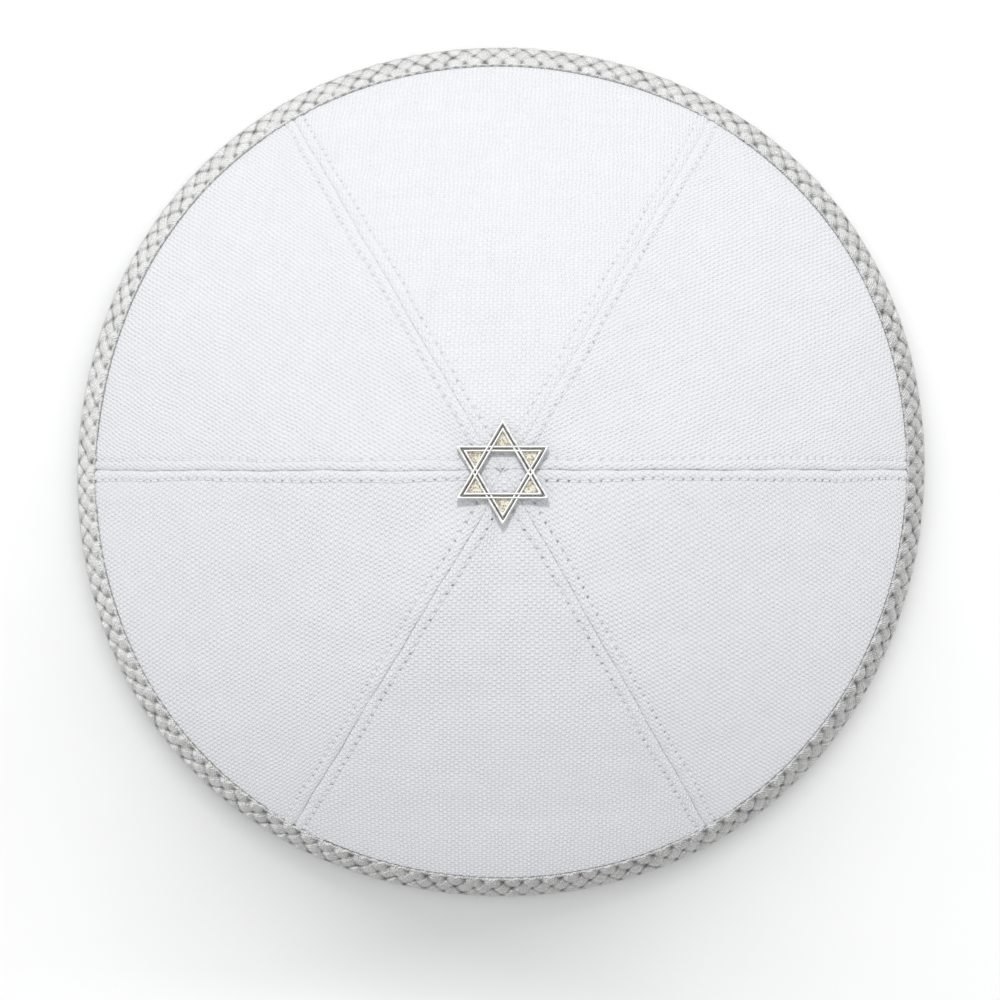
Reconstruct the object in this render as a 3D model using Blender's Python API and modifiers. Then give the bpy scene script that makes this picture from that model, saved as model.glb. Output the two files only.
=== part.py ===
"""A six-gore linen skullcap with a braided rim and a small cast six-pointed star on its crown.

The cap rests on its rim at z = 0 with its axis on +Z. Seams run out at 0, 60, 120 ... degrees, so that
one seam lies along X, and +Y is the middle of a gore. All sizes are in metres.
"""

import math

import bmesh
import bpy
from mathutils import Vector

# Dome: the outer face of the cloth
EDGE_RADIUS = 0.0835      # the cloth's lower edge, inside the braid
DOME_RISE = 0.044         # crown above that edge
ROUNDNESS = 1.95          # power of the profile: 2 is a parabola, less is nearer to a cone
LOBE_DEPTH = 0.0005       # how far the rim is out of round
LOBE_COUNT = 3
LOBE_TURN = 49.3          # direction of the first lobe, in degrees

# Gores
GORE_COUNT = 6
SEAM_GAP = 0.0003         # cut that keeps neighbouring gores apart
CLOTH_WALL = 0.0010
ALLOWANCE_WALL = 0.0016   # cloth with the pressed-open seam allowance inside it
ALLOWANCE_WIDTH = 0.0065
ALLOWANCE_STEP = 0.0006   # over which the inner face drops from the allowance to the cloth
ALLOWANCE_MOST = 0.7      # most of the half gore that the allowance takes near the crown
STEP_MOST = 0.78          # and the same for the foot of its step
SEAM_SPARE = math.radians(3)    # how far a gore runs past its seams before it is trimmed to them
GORE_ROWS = 12
FIELD_COLUMNS = 3         # on each side of the gore's middle, between the allowances

# Braid folded over the edge
BRAID_WALL = 0.0010
BRAID_COVER = 0.0052      # down the slope, on each side of the cloth
BRAID_PRESSED = 0.00035   # how much the fold is flattened where the cap rests on it
BRAID_STEPS = 72
FOLD_STEPS = 6

# Star, a pair of crossed triangles with double ridges round six sunk cells
STAR_POINTS = 6
STAR_RADIUS = 0.0098
STAR_BAR = 0.00118        # width of a triangle's bar
STAR_RIDGE = 0.00042      # width of each of the two ridges on a bar
STAR_THICKNESS = 0.0014
STAR_GROOVE = 0.0004      # depth of the groove between the two ridges
CELL_FLOOR = 0.0006       # thickness of the plate that closes each point
OVERLAP = 0.0001          # how far one soldered piece reaches into the next

# Two flat prongs under the star's top and bottom points, bent over inside the cap
PRONG_WIDTH = 0.0016
PRONG_WALL = 0.0005
PRONG_TAB = 0.0030

CLEARANCE = 0.0003        # between pieces that touch on the real cap

EDGE_SLOPE = math.atan(ROUNDNESS * DOME_RISE / EDGE_RADIUS)
FOLD_BORE = ALLOWANCE_WALL / 2 + CLEARANCE
FOLD_RADIUS = FOLD_BORE + BRAID_WALL
EDGE_HEIGHT = FOLD_RADIUS - BRAID_PRESSED + ALLOWANCE_WALL / 2 * math.cos(EDGE_SLOPE)
GORE_ANGLE = 2 * math.pi / GORE_COUNT
PRONG_REACH = STAR_RADIUS * 2 / 3   # the middle of a point of the star


def dome_height(radius):
    """Height of the cloth's outer face at this distance from the axis."""
    return EDGE_HEIGHT + DOME_RISE * (1 - (radius / EDGE_RADIUS) ** ROUNDNESS)


def dome_slope(radius):
    """How steeply the dome falls at this distance from the axis, in radians."""
    fall = ROUNDNESS * DOME_RISE / EDGE_RADIUS * (radius / EDGE_RADIUS) ** (ROUNDNESS - 1)
    return math.atan(fall)


def skin_point(run, depth):
    """A point in the XZ plane, run inward from the cloth's edge and depth below its outer face."""
    radius = EDGE_RADIUS - run
    slope = dome_slope(radius)
    return Vector((radius - depth * math.sin(slope), 0, dome_height(radius) - depth * math.cos(slope)))


def lobed(point, turn):
    """Moves a point out or in with the rim's lobes, which fade towards the crown."""
    reach = math.hypot(point.x, point.y) / EDGE_RADIUS
    angle = math.atan2(point.y, point.x) + turn
    swell = LOBE_DEPTH * math.cos(LOBE_COUNT * (angle - math.radians(LOBE_TURN)))
    stretch = 1 + swell * reach / EDGE_RADIUS
    return Vector((point.x * stretch, point.y * stretch, point.z))


def new_collection(name):
    collection = bpy.data.collections.new(name)
    bpy.context.scene.collection.children.link(collection)
    return collection


def material(name, colour, roughness, metallic):
    made = bpy.data.materials.new(name)
    made.use_nodes = True
    shader = made.node_tree.nodes["Principled BSDF"]
    shader.inputs["Base Color"].default_value = (*colour, 1)
    shader.inputs["Roughness"].default_value = roughness
    shader.inputs["Metallic"].default_value = metallic
    return made


def mesh_object(name, bm, collection, finish=None):
    """Makes an object of a bmesh, with its faces pointing out and smooth but for its edges."""
    bmesh.ops.recalc_face_normals(bm, faces=bm.faces)
    mesh = bpy.data.meshes.new(name)
    bm.to_mesh(mesh)
    bm.free()
    mesh.shade_smooth()
    mesh.set_sharp_from_angle(angle=math.radians(30))
    made = bpy.data.objects.new(name, mesh)
    collection.objects.link(made)
    if finish:
        mesh.materials.append(finish)
    return made


def helper(name, bm, collection):
    """A cutter or a piece to be soldered on: seen as wire, and not part of the model."""
    made = mesh_object(name, bm, collection)
    made.hide_render = True
    made.display_type = "WIRE"
    return made


def boolean(target, other, operation):
    modifier = target.modifiers.new(other.name, "BOOLEAN")
    modifier.operation = operation
    modifier.solver = "EXACT"
    modifier.object = other
    return modifier


def ring(section, steps):
    """Carries a closed section round the Z axis in straight steps: many make a ring, three a triangle."""
    bm = bmesh.new()
    verts = [bm.verts.new(point) for point in section]
    edges = [bm.edges.new(pair) for pair in zip(verts, verts[1:] + verts[:1])]
    bmesh.ops.spin(
        bm, geom=verts + edges, cent=(0, 0, 0), axis=(0, 0, 1), angle=2 * math.pi, steps=steps, use_merge=True
    )
    return bm


def prism(outline, direction):
    """A flat outline pushed along a direction into a solid."""
    bm = bmesh.new()
    face = bm.faces.new([bm.verts.new(point) for point in outline])
    pushed = bmesh.ops.extrude_face_region(bm, geom=[face])
    moved = [item for item in pushed["geom"] if isinstance(item, bmesh.types.BMVert)]
    bmesh.ops.translate(bm, verts=moved, vec=direction)
    return bm


def seam_distance(point):
    """Distance of a point from the nearer seam of a gore whose middle is the X axis."""
    half = GORE_ANGLE / 2
    return point.x * math.sin(half) - abs(point.y) * math.cos(half)


def gore_angle(column, radius):
    """Angle from the gore's middle to one of its columns of points, at this distance from the axis.

    On each side the outermost column lies past the seam, the next two lie on the allowance's inner edge
    and at the foot of its step, and the rest share the field evenly. Near the crown they crowd together.
    """
    half = GORE_ANGLE / 2
    side = math.copysign(1, column)
    step = min(math.asin(min((ALLOWANCE_WIDTH + ALLOWANCE_STEP) / radius, 1)), STEP_MOST * half)
    if abs(column) <= FIELD_COLUMNS:
        return column / FIELD_COLUMNS * (half - step)
    if abs(column) == FIELD_COLUMNS + 1:
        return side * (half - min(math.asin(min(ALLOWANCE_WIDTH / radius, 1)), ALLOWANCE_MOST * half))
    return side * (half + SEAM_SPARE)


def gore_surface(turn):
    """The outer face of one gore, a little too wide, and the points that lie on its seam allowances."""
    columns = FIELD_COLUMNS + 2
    bm = bmesh.new()
    bmesh.ops.create_grid(bm, x_segments=2 * columns, y_segments=GORE_ROWS, size=1)
    for vert in bm.verts:
        radius = EDGE_RADIUS * (vert.co.y + 1) / 2
        angle = gore_angle(round(vert.co.x * columns), max(radius, SEAM_GAP))
        vert.co = (radius * math.cos(angle), radius * math.sin(angle), dome_height(radius))
        vert.co = lobed(vert.co, turn)
    bmesh.ops.remove_doubles(bm, verts=bm.verts, dist=1e-6)
    line = ALLOWANCE_WIDTH + ALLOWANCE_STEP / 2
    allowance = [vert.index for vert in bm.verts if seam_distance(vert.co) < line]
    return bm, allowance


def gore_wedge():
    """The space of one gore between its seams, each seam keeping half of the gap."""
    half = GORE_ANGLE / 2
    tip = SEAM_GAP / 2 / math.sin(half)
    reach = 2 * EDGE_RADIUS
    side = reach * math.tan(half)
    low = -DOME_RISE
    outline = [(tip, 0, low), (tip + reach, -side, low), (tip + reach, side, low)]
    return prism(outline, Vector((0, 0, 4 * DOME_RISE)))


def make_gore(number, linen, parts, cutters):
    turn = (number - 0.5) * GORE_ANGLE
    bm, allowance = gore_surface(turn)
    gore = mesh_object(f"panel_{number}", bm, parts, linen)
    gore.rotation_euler.z = turn
    group = gore.vertex_groups.new(name="seam_allowance")
    group.add(allowance, 1, "REPLACE")
    cloth = gore.modifiers.new("Cloth", "SOLIDIFY")
    cloth.thickness = ALLOWANCE_WALL
    cloth.offset = -1
    cloth.use_even_offset = True
    cloth.vertex_group = group.name
    cloth.thickness_vertex_group = CLOTH_WALL / ALLOWANCE_WALL
    wedge = helper(f"wedge_{number}", gore_wedge(), cutters)
    wedge.rotation_euler.z = turn
    boolean(gore, wedge, "INTERSECT")
    return gore


def make_binding(braid, parts):
    """The braid: two legs along the cloth, joined by a round fold that is pressed flat where it rests."""
    top = BRAID_COVER * math.cos(EDGE_SLOPE)
    runs = (top, top / 2, 0)
    outer_leg = -CLEARANCE
    inner_leg = ALLOWANCE_WALL + CLEARANCE
    centre = skin_point(0, ALLOWANCE_WALL / 2)

    def fold(radius):
        """The fold's points between the two legs, from the outer side round to the inner one."""
        first = math.pi / 2 - EDGE_SLOPE
        turns = [first - math.pi * step / FOLD_STEPS for step in range(1, FOLD_STEPS)]
        return [centre + radius * Vector((math.cos(a), 0, math.sin(a))) for a in turns]

    section = [skin_point(run, outer_leg - BRAID_WALL) for run in runs]
    section += fold(FOLD_RADIUS)
    section += [skin_point(run, inner_leg + BRAID_WALL) for run in reversed(runs)]
    section += [skin_point(run, inner_leg) for run in runs]
    section += reversed(fold(FOLD_BORE))
    section += [skin_point(run, outer_leg) for run in reversed(runs)]
    for point in section:
        point.z = max(point.z, 0)
    bm = ring(section, BRAID_STEPS)
    for vert in bm.verts:
        vert.co = lobed(vert.co, 0)
    return mesh_object("rim_binding", bm, parts, braid)


def triangle_frame(top, turn):
    """One triangle of the star: a bar with two ridges and a groove, carried round three mitred corners."""
    widths = (0, STAR_RIDGE, STAR_RIDGE, STAR_BAR - STAR_RIDGE, STAR_BAR - STAR_RIDGE, STAR_BAR)
    tops = (top, top, top - STAR_GROOVE, top - STAR_GROOVE, top, top)
    corner = 2  # a triangle's corner is twice as far out as the middle of its side
    ridge = [(STAR_RADIUS - corner * width, height) for width, height in zip(widths, tops)]
    section = ridge + [(ridge[-1][0], 0), (STAR_RADIUS, 0)]
    points = [Vector((r * math.cos(turn), r * math.sin(turn), z)) for r, z in section]
    return ring(points, STAR_POINTS // 2)


def polygon_prism(sides, radius, low, high, turn):
    points = [
        (radius * math.cos(turn + 2 * math.pi * k / sides), radius * math.sin(turn + 2 * math.pi * k / sides), low)
        for k in range(sides)
    ]
    return prism(points, Vector((0, 0, high - low)))


def prong(seat):
    """A flat strip from the star's cell down through the cloth, bent flat towards the centre inside."""
    outside = PRONG_REACH + PRONG_WALL / 2
    inside = PRONG_REACH - PRONG_WALL / 2
    wall = ALLOWANCE_WALL / math.cos(dome_slope(outside))
    tab_top = dome_height(outside) - wall - CLEARANCE - seat
    tab_low = tab_top - PRONG_WALL
    root = CELL_FLOOR - OVERLAP
    outline = [
        (-PRONG_WIDTH / 2, outside, root),
        (-PRONG_WIDTH / 2, outside, tab_low),
        (-PRONG_WIDTH / 2, inside - PRONG_TAB, tab_low),
        (-PRONG_WIDTH / 2, inside - PRONG_TAB, tab_top),
        (-PRONG_WIDTH / 2, inside, tab_top),
        (-PRONG_WIDTH / 2, inside, root),
    ]
    return prism(outline, Vector((PRONG_WIDTH, 0, 0)))


def make_star(silver, parts, cutters):
    """The star's triangles, the plates that close its points and its two prongs, cast as one."""
    hole = 2 / math.sqrt(3) * (STAR_RADIUS / 2 - STAR_BAR)
    seat = dome_height(hole) + CLEARANCE
    up, down = math.pi / 2, -math.pi / 2
    star = mesh_object("star_charm", triangle_frame(STAR_THICKNESS, up), parts, silver)
    cell_reach = STAR_RADIUS - STAR_BAR
    plates = helper("up_plate", polygon_prism(STAR_POINTS // 2, cell_reach, OVERLAP, CELL_FLOOR, up), cutters)
    second = helper("down_plate", polygon_prism(STAR_POINTS // 2, cell_reach, OVERLAP, CELL_FLOOR, down), cutters)
    opening = helper(
        "star_opening",
        polygon_prism(STAR_POINTS, hole + OVERLAP, -STAR_THICKNESS, 2 * STAR_THICKNESS, 0),
        cutters,
    )
    boolean(plates, second, "UNION")
    boolean(plates, opening, "DIFFERENCE")
    pieces = [helper("down_triangle", triangle_frame(STAR_THICKNESS - OVERLAP / 2, down), cutters), plates]
    for name, turn in (("top_prong", 0), ("bottom_prong", math.pi)):
        strip = helper(name, prong(seat), cutters)
        strip.rotation_euler.z = turn
        strip.location.z = seat
        pieces.append(strip)
    for piece in (star, plates, second, opening, pieces[0]):
        piece.location.z = seat
    for piece in pieces:
        boolean(star, piece, "UNION")
    return star


def cut_slits(gores, cutters):
    """A slit for each prong, at +Y and -Y, through every gore that it meets."""
    for name, side in (("top_slit", 1), ("bottom_slit", -1)):
        bm = bmesh.new()
        bmesh.ops.create_cube(bm, size=1)
        size = (PRONG_WIDTH + 2 * CLEARANCE, PRONG_WALL + 2 * CLEARANCE, 2 * DOME_RISE)
        bmesh.ops.scale(bm, verts=bm.verts, vec=size)
        slit = helper(name, bm, cutters)
        slit.location = (0, side * PRONG_REACH, DOME_RISE)
        for gore in gores:
            away = abs(math.remainder(gore.rotation_euler.z - side * math.pi / 2, 2 * math.pi))
            if away < GORE_ANGLE:
                boolean(gore, slit, "DIFFERENCE")


def build():
    for old in list(bpy.data.objects):
        bpy.data.objects.remove(old)
    parts = new_collection("skullcap")
    cutters = new_collection("cutters")
    linen = material("white_linen", (0.86, 0.86, 0.87), 0.9, 0)
    braid = material("silver_braid", (0.62, 0.63, 0.63), 0.45, 0.6)
    silver = material("bright_silver", (0.9, 0.89, 0.87), 0.12, 1)
    gores = [make_gore(number, linen, parts, cutters) for number in range(1, GORE_COUNT + 1)]
    cut_slits(gores, cutters)
    pieces = gores + [make_binding(braid, parts), make_star(silver, parts, cutters)]
    cap = bpy.data.objects.new("skullcap_frame", None)
    parts.objects.link(cap)
    for piece in pieces:
        piece.parent = cap


build()
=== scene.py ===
"""Looks for a six-gore linen skullcap with a braided rim and a small cast six-pointed star.

Laid out as a Blender add-on and run as a script. Sizes are in metres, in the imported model's frame: the cap
rests at z = 0 with its axis on +Z, seams run out at 0, 60, 120 ... degrees, and +Y is up in the photo.
"""

import bpy
import numpy as np
from bpy.props import FloatProperty, FloatVectorProperty, IntProperty, PointerProperty
from bpy.types import Operator, Panel, PropertyGroup
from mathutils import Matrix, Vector


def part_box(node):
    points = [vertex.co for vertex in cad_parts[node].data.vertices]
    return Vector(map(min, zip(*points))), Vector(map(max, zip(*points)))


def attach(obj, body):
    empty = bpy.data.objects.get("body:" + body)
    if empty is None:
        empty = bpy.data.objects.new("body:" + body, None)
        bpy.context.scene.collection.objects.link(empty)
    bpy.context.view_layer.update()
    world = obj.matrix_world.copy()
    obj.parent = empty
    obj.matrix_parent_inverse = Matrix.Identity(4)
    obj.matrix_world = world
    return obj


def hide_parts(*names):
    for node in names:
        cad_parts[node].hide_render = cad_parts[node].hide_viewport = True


bl_info = {
    "name": "Linen Skullcap",
    "version": (1, 0, 0),
    "blender": (4, 5, 0),
    "location": "3D View > Sidebar > Skullcap",
    "description": "Dresses a packed skullcap with sewn linen gores, a plaited rim and a cast star",
    "category": "Object",
}

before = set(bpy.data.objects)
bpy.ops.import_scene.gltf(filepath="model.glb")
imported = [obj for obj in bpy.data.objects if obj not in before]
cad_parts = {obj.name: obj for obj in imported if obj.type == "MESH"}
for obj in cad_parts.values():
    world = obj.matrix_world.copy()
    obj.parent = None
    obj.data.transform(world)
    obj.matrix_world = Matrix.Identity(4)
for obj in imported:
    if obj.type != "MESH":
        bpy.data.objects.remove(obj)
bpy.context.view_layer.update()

MM = 0.001

# Dome: the outer face of the cloth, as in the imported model
EDGE_RADIUS = 0.0835
EDGE_HEIGHT = 0.0023079
DOME_RISE = 0.044
ROUNDNESS = 1.95
# Each faint wave of the rim: its crests all round, its height, and the direction of one crest in degrees
RIM_WAVES = ((1, 0.00037, 171), (2, 0.00017, 54), (4, 0.00049, 40))
EDGE_SLOPE = np.arctan(ROUNDNESS * DOME_RISE / EDGE_RADIUS)

# Gores
GORE_COUNT = 6
GORE_ANGLE = 2 * np.pi / GORE_COUNT
HALF_GORE = GORE_ANGLE / 2
TIP_RADIUS = 0.00005        # where a gore's point stops, under the star's opening
GORE_ROWS = 212
FIELD_COLUMNS = 20          # on each side, between the seam allowance and the gore's middle
# Distance of each column of points beside a seam
SEAM_COLUMNS = MM * np.array(
    [
        0.005, 0.09, 0.2, 0.38, 0.65, 1.0, 1.3, 1.55, 1.8, 2.05,
        2.3, 2.6, 3.1, 3.8, 4.7, 5.6, 6.2, 6.45, 6.7, 7.3,
    ]
)
# How far each seam, at 0, 60, 120 ... degrees, was sewn off its true line: near the crown and at the rim
SEAM_SHIFT = MM * np.array(
    [[0.45, 0.50], [-0.45, -0.55], [0.50, 0.95], [-0.30, -0.36], [0.90, -0.95], [0.35, -0.20]]
)
SEAM_OPEN = np.array([1.0, 0.0, 0.3, 0.95, 0.8, 0.6])       # how far each seam gapes
# How strong the needle holes are in the two rows of each gore, after the seam before it and before the next:
# the painted shade in them and their bumped depth
HOLE_SHADE_AND_DEPTH = np.array([[0.35, 0.42], [0.32, 0.45], [0.30, 0.22], [0.55, 0.60], [0.85, 0.85], [0.85, 1.0]])
CROWN_SHIFT = MM * np.array([0.0, 0.6, 0.0])                # where the six points meet
CLOTH_WALL = 0.0009
ALLOWANCE_WALL = 0.0016
ALLOWANCE_WIDTH = 0.0065
FLATTENED = 0.0007          # how far the middle of a gore lies below a perfect dome
CROWN_STILL = 0.003         # within this radius the cloth moves as one with the point where the seams meet
CROWN_FREE = 0.008          # past this one it follows the seam beside it
SEAM_PULL = 0.012           # how far from a seam the cloth still follows it
SEAM_WANDER = ((0.00008, 0.027), (0.00005, 0.0095))         # height and length of a seam's two waves
ROW_WANDER = ((0.00016, 0.061), (0.00007, 0.019))           # the same for a row of stitches

# Relief of the sewn cloth
GROOVE_DEPTH = 0.00004
GROOVE_GAPE = 0.00020       # how much deeper a seam is that gapes
GROOVE_WIDTH = 0.00020
BAND_HEIGHT = 0.00014       # of the cloth that lies over a seam allowance, up to the stitches
DIP_DEPTH = 0.00019         # of the line that the stitches pull in
DIP_WIDTH = 0.00034
GHOST_HEIGHT = 0.00005      # of the allowance's edge, seen through the cloth
PUCKER_HEIGHT = 0.00005
PUCKER_LENGTH = 0.0083
PUCKER_REACH = 0.0035
CLOTH_WAVES = ((0.00016, 0.052), (0.00007, 0.02))           # height and longest length of two sets of waves
SEAM_SHADE_WIDTH = 0.00012     # of the painted shade along the gap of a seam
SEWN_FADE = (0.003, 0.007)  # radii between which the sewing's relief begins
FINE_FADE = (0.965, 0.99)   # shares of the edge's radius between which it ends, under the braid
WAVE_FADE = (0.80, 0.96)    # the same for the waves of the cloth
INNER_SHARE = 0.3           # how much of the fine relief shows on the inner face

# Sewing
FIRST_STITCH = 0.0064       # down the dome from the crown
LAST_STITCH = 0.0022        # up the dome from the edge
STITCH_SPAN = (0.07, 0.93)  # where a stitch starts and ends, as shares of its length
STITCH_RISE = 0.50          # how far its middle rises over its ends, in thicknesses of the thread
STITCH_SINK = 0.34          # how deep its ends lie in the cloth, likewise
CROWN_THREAD = 0.00024      # thickness of the thread ends at the crown

# Braid section, folded over the cloth's edge
INNER_COVER = 0.0052        # how far each leg reaches up the slope
OUTER_COVER = 0.0044
BRAID_WALL = 0.0010
FOLD_CENTRE_DEPTH = ALLOWANCE_WALL / 2
CELL_STEPS = 11             # points along one cell of the plait
SELVAGE_STEPS = MM * np.array([0, 0.08, 0.17, 0.27, 0.38, 0.5, 0.64, 0.8])
SCALLOP_DEPTH = 0.00014
SELVAGE_THICKNESS = 0.00042
SELVAGE_ROUND = 0.00025     # width of the selvage's rounded edge
BODY_THICKNESS = 0.00055    # what the braid gains away from its selvages
BODY_RISE = 0.0017          # distance from a selvage where it has gained it all
PLAIT_EDGE = (0.0001, 0.0004)   # distances from a selvage between which the plait's relief begins
FULL_THICKNESS = 0.0013     # thickening at which 1.6 times the set relief would show
PRESSED = 0.35              # the share of the relief that is left under the rim
PLAIT_SHADE_RANGE = (0.12, 0.60)     # heights of the plait between which the painted shade in its gaps fades out
FLAT_HEIGHT = 0.66          # height of the plait that its relief turns about
SWAY = 0.00013              # how far the outer leg's selvage wanders up and down the slope
SWAY_REACH = 0.004          # how far from that selvage the braid still follows it
BORE_STEPS = 8              # points across the face that lies on the cloth
BORE_CLEARANCE = 0.00002
PLAIT_DRAWS = (3, 97, 89)   # seeded swell and two tilts for crossings, repeated round the rim

# Star
STAR_THICKNESS = 0.0014
STAR_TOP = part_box("star_charm")[1].z
STAR_SEAT = STAR_TOP - STAR_THICKNESS
PACKED_STAR_RADIUS = 0.0098
PRONG_REACH = PACKED_STAR_RADIUS * 2 / 3
PRONG_BEND = 0.00045        # radius of a prong's bend
PRONG_DROP = 0.00055        # from the cloth's inner face to the middle of the bent part
PRONG_TAIL = 0.0032         # how far the bent part reaches in
FOOT_BEVEL = 0.00012
FLANK_SHARE = 0.55          # how far up the flank of a bar its middle point lies
PLATE_INSET = 0.55          # how far the cells' plate stops inside a bar's outer edge, as a share of the bar
PLATE_LIFT = 0.0001         # between the star's seat and the plate's back
CELL_BUMPS = 0.00005
CAST_UNEVENNESS = 0.004
CORNER_POWER = 40           # the higher, the sharper the star's corners
STAR_STRETCH = (1.012, 0.995, 1.0)

# Seeds of the random draws
SEAM_SEED, ROW_SEED, SKEW_SEED, PLAIT_SEED = 3, 100, 40, 5
LONG_WAVE_SEED, SHORT_WAVE_SEED, SWAY_SEED, CAST_SEED, CELL_SEED = 7, 19, 31, 77, 91

# Stage
KEY_AZIMUTH, KEY_ELEVATION = np.radians(94), np.radians(57)
KEY_SOFTNESS = np.radians(8)
KEY_DISTANCE = 0.5
STRIP_DISTANCE = 3.0
BAND_EDGES = (-0.7, 0.65)   # cosine of the angle to the band where the surround is darkest and brightest
BELT_HEIGHT = 0.55          # sine of the dark belt's elevation
BELT_EDGES = (0.04, 0.17)   # how far from it the belt is still darkest, and where the belt ends
BELT_SHADE = 0.4
SCREEN_LEAN = 0.30
SCREEN_EDGES = (0.93, 0.992)    # cosine of the angle to the screen's middle at its edge and where it is full
FLOOR_STEPS = 9
FLOOR_HEIGHT = -0.00002     # a hair below the plane that the cap rests on


# Shapes shared by several pieces

def smooth_step(value, low, high):
    """0 below low, 1 above high, and an S-shaped rise between them."""
    share = np.clip((value - low) / (high - low), 0, 1)
    return share * share * (3 - 2 * share)


def bell(value, middle, width):
    """A bell-shaped bump of height 1 round the middle."""
    return np.exp(-(((value - middle) / width) ** 2))


def soft_least(first, second):
    """The lesser of two lengths, with a rounded change from one to the other."""
    return (first**-4.0 + second**-4.0) ** -0.25


def soft_waves(x, y, longest, seed, count=7):
    """A smooth uneven field: sine waves in seeded directions, each shorter and lower than the one before."""
    draw = np.random.default_rng(seed)
    total = np.zeros(np.broadcast(x, y).shape)
    for step in range(count):
        heading, phase = draw.uniform(0, 2 * np.pi, 2)
        length = longest * 0.78**step
        total += 0.85**step * np.sin((x * np.cos(heading) + y * np.sin(heading)) * 2 * np.pi / length + phase)
    return total / np.sqrt(count)


def dome_height(radius):
    """Height of the cloth's outer face: the rise, less its share that grows as a power of the radius."""
    return EDGE_HEIGHT + DOME_RISE * (1 - (radius / EDGE_RADIUS) ** ROUNDNESS)


def dome_slope(radius):
    """How steeply the dome falls at this radius: the arc tangent of its height's rate of change."""
    return np.arctan(ROUNDNESS * DOME_RISE / EDGE_RADIUS * (radius / EDGE_RADIUS) ** (ROUNDNESS - 1))


RADIUS_TABLE = np.linspace(0, EDGE_RADIUS, 4001)
ARC_STEPS = np.hypot(np.diff(RADIUS_TABLE), np.diff(dome_height(RADIUS_TABLE)))
ARC_TABLE = np.concatenate(([0], np.cumsum(ARC_STEPS)))
ARC_LENGTH = ARC_TABLE[-1]


def arc_at(radius):
    """Length of the dome's curve from the crown out to this radius."""
    return np.interp(radius, RADIUS_TABLE, ARC_TABLE)


def radius_at(arc):
    """The radius that lies this far down the dome's curve."""
    return np.interp(arc, ARC_TABLE, RADIUS_TABLE)


def waved(out, up, angle):
    """A point at this distance from the axis, height and angle, moved out or in with the rim's faint waves.

    Each wave is a cosine of the angle. It grows with the square of the distance from the axis.
    """
    swell = sum(
        height * np.cos(crests * (angle - np.radians(heading))) for crests, height, heading in RIM_WAVES
    )
    out = out * (1 + swell * out / EDGE_RADIUS**2)
    return np.stack(np.broadcast_arrays(out * np.cos(angle), out * np.sin(angle), up), -1)


def skin(radius, angle, depth):
    """The point that lies depth below the dome's outer face, square to it, at this radius and angle."""
    slope = dome_slope(radius)
    return waved(radius - depth * np.sin(slope), dome_height(radius) - depth * np.cos(slope), angle)


def grid_quads(rows, columns, close_rows=False, close_columns=False):
    """Four corners a face over a grid of points in row order; a closed way joins its end to its start."""
    row = np.arange(rows if close_rows else rows - 1)[:, None]
    column = np.arange(columns if close_columns else columns - 1)[None]
    next_row, next_column = (row + 1) % rows, (column + 1) % columns
    corners = np.broadcast_arrays(
        row * columns + column,
        next_row * columns + column,
        next_row * columns + next_column,
        row * columns + next_column,
    )
    return np.stack(corners, -1).reshape(-1, 4)


def shell_quads(rows, columns):
    """Faces of a sheet with a wall: the outer grid, the inner one turned over, and a strip round the edge."""
    outer = grid_quads(rows, columns)
    inner = rows * columns
    index = np.arange(inner).reshape(rows, columns)
    loop = np.concatenate((index[:-1, 0], index[-1, :-1], index[:0:-1, -1], index[0, :0:-1]))
    after = np.roll(loop, -1)
    rim = np.stack((after, loop, loop + inner, after + inner), -1)
    return np.concatenate((outer, outer[:, ::-1] + inner, rim))


def make_piece(name, points, face_sets, finish, maps=None, masks=None, sharp=None):
    """Makes a smooth-shaded mesh object of arrays of points and faces, with UV maps and vertex masks."""
    points = np.asarray(points, np.float32).reshape(-1, 3)
    corners = np.concatenate([faces.ravel() for faces in face_sets]).astype(np.int32)
    sizes = np.concatenate([np.full(len(faces), faces.shape[1]) for faces in face_sets])
    starts = np.concatenate(([0], np.cumsum(sizes)[:-1])).astype(np.int32)
    mesh = bpy.data.meshes.new(name)
    mesh.vertices.add(len(points))
    mesh.vertices.foreach_set("co", points.ravel())
    mesh.loops.add(len(corners))
    mesh.loops.foreach_set("vertex_index", corners)
    mesh.polygons.add(len(sizes))
    mesh.polygons.foreach_set("loop_start", starts)
    mesh.update(calc_edges=True)
    if mesh.validate():
        raise RuntimeError(f"{name}: the mesh had faces or points that Blender can't use")
    for label, values in (maps or {}).items():
        layer = mesh.uv_layers.new(name=label)
        flat = np.asarray(values, np.float32).reshape(-1, 2)[corners]
        layer.uv.foreach_set("vector", flat.ravel())
    for label, values in (masks or {}).items():
        attribute = mesh.attributes.new(label, "FLOAT", "POINT")
        attribute.data.foreach_set("value", np.asarray(values, np.float32).ravel())
    mesh.shade_smooth()
    if sharp is not None:
        mesh.set_sharp_from_angle(angle=sharp)
    mesh.materials.append(finish)
    made = bpy.data.objects.new(name, mesh)
    bpy.context.scene.collection.objects.link(made)
    return made


# Material wiring

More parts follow.
